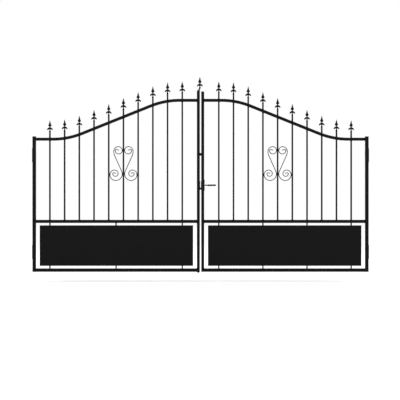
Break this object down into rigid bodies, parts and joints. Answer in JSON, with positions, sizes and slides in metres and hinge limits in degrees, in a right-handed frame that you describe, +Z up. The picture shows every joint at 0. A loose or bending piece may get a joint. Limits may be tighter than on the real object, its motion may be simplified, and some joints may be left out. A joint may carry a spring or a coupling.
{
  "type": "double-leaf wrought iron driveway gate",
  "caption": "Arched double driveway gate of black steel with spear-topped bars, scrolls, solid lower panels, lever lock and drop bolt, hung on bolted hinge brackets.",
  "frame": {"origin": "middle of the lower left hinge bracket's back face, which bolts to the left pillar", "axes": "+X from the left pillar to the right one, +Y into the drive (the way the leaves open), +Z up"},
  "size_m": [3.416, 0.1805, 1.9852],
  "materials": {
    "black_powder_coat": "satin black powder coat",
    "black_casting": "satin black paint on cast spearheads",
    "black_sheet": "satin black powder coat on flat sheet",
    "black_hardware": "semi-gloss black lock furniture",
    "zinc_steel": "zinc-plated steel"
  },
  "bodies": {
    "hinge_brackets": {"left_lower_hinge_bracket": "black_powder_coat", "left_upper_hinge_bracket": "black_powder_coat", "right_lower_hinge_bracket": "black_powder_coat", "right_upper_hinge_bracket": "black_powder_coat", "left_hinge_pins": "zinc_steel", "right_hinge_pins": "zinc_steel"},
    "left_leaf": {"left_hinge_stile": "black_powder_coat", "left_closing_stile": "black_powder_coat", "left_top_rail": "black_powder_coat", "left_mid_rail": "black_powder_coat", "left_bottom_rail": "black_powder_coat", "left_bars": "black_powder_coat", "left_spearheads": "black_casting", "left_panel": "black_sheet", "left_panel_supports": "black_powder_coat", "left_scrolls": "black_powder_coat", "left_stile_caps": "black_powder_coat", "left_hinge_knuckles": "black_powder_coat", "centre_spear": "black_casting", "closing_stop": "black_powder_coat", "strike_plate": "black_hardware", "drop_bolt_guides": "black_powder_coat"},
    "right_leaf": {"right_hinge_stile": "black_powder_coat", "right_closing_stile": "black_powder_coat", "right_top_rail": "black_powder_coat", "right_mid_rail": "black_powder_coat", "right_bottom_rail": "black_powder_coat", "right_bars": "black_powder_coat", "right_spearheads": "black_casting", "right_panel": "black_sheet", "right_panel_supports": "black_powder_coat", "right_scrolls": "black_powder_coat", "right_stile_caps": "black_powder_coat", "right_hinge_knuckles": "black_powder_coat", "lock_case": "black_hardware", "front_escutcheon": "black_hardware", "rear_escutcheon": "black_hardware", "lock_faceplate": "black_hardware", "key_cylinders": "black_hardware"},
    "lever": {"front_lever": "black_hardware", "rear_lever": "black_hardware", "lever_spindle": "zinc_steel"},
    "latch": {"latch_bolt": "black_hardware"},
    "drop_bolt": {"drop_bolt_rod": "black_powder_coat"}
  },
  "joints": [
    {"name": "left_leaf_swing", "type": "hinge", "parent": "hinge_brackets", "child": "left_leaf", "pos_m": [0.0255, -0.028, 0], "axis": [0, 0, 1], "range_deg": [0, 90]},
    {"name": "right_leaf_swing", "type": "hinge", "parent": "hinge_brackets", "child": "right_leaf", "pos_m": [3.3905, -0.028, 0], "axis": [0, 0, -1], "range_deg": [0, 90]},
    {"name": "lever_turn", "type": "hinge", "parent": "right_leaf", "child": "lever", "pos_m": [1.73, -0.0675, 0.676], "axis": [0, 1, 0], "range_deg": [0, 40], "stiffness_Nm_per_rad": 1.5, "springref_deg": -28.65},
    {"name": "latch_slide", "type": "slide", "parent": "right_leaf", "child": "latch", "axis": [1, 0, 0], "range_m": [0, 0.016]},
    {"name": "drop_bolt_slide", "type": "slide", "parent": "left_leaf", "child": "drop_bolt", "axis": [0, 0, -1], "range_m": [0, 0.09]}
  ],
  "couplings": [
    {"joint": "latch_slide", "follows": "lever_turn", "m_per_rad": 0.02291}
  ]
}
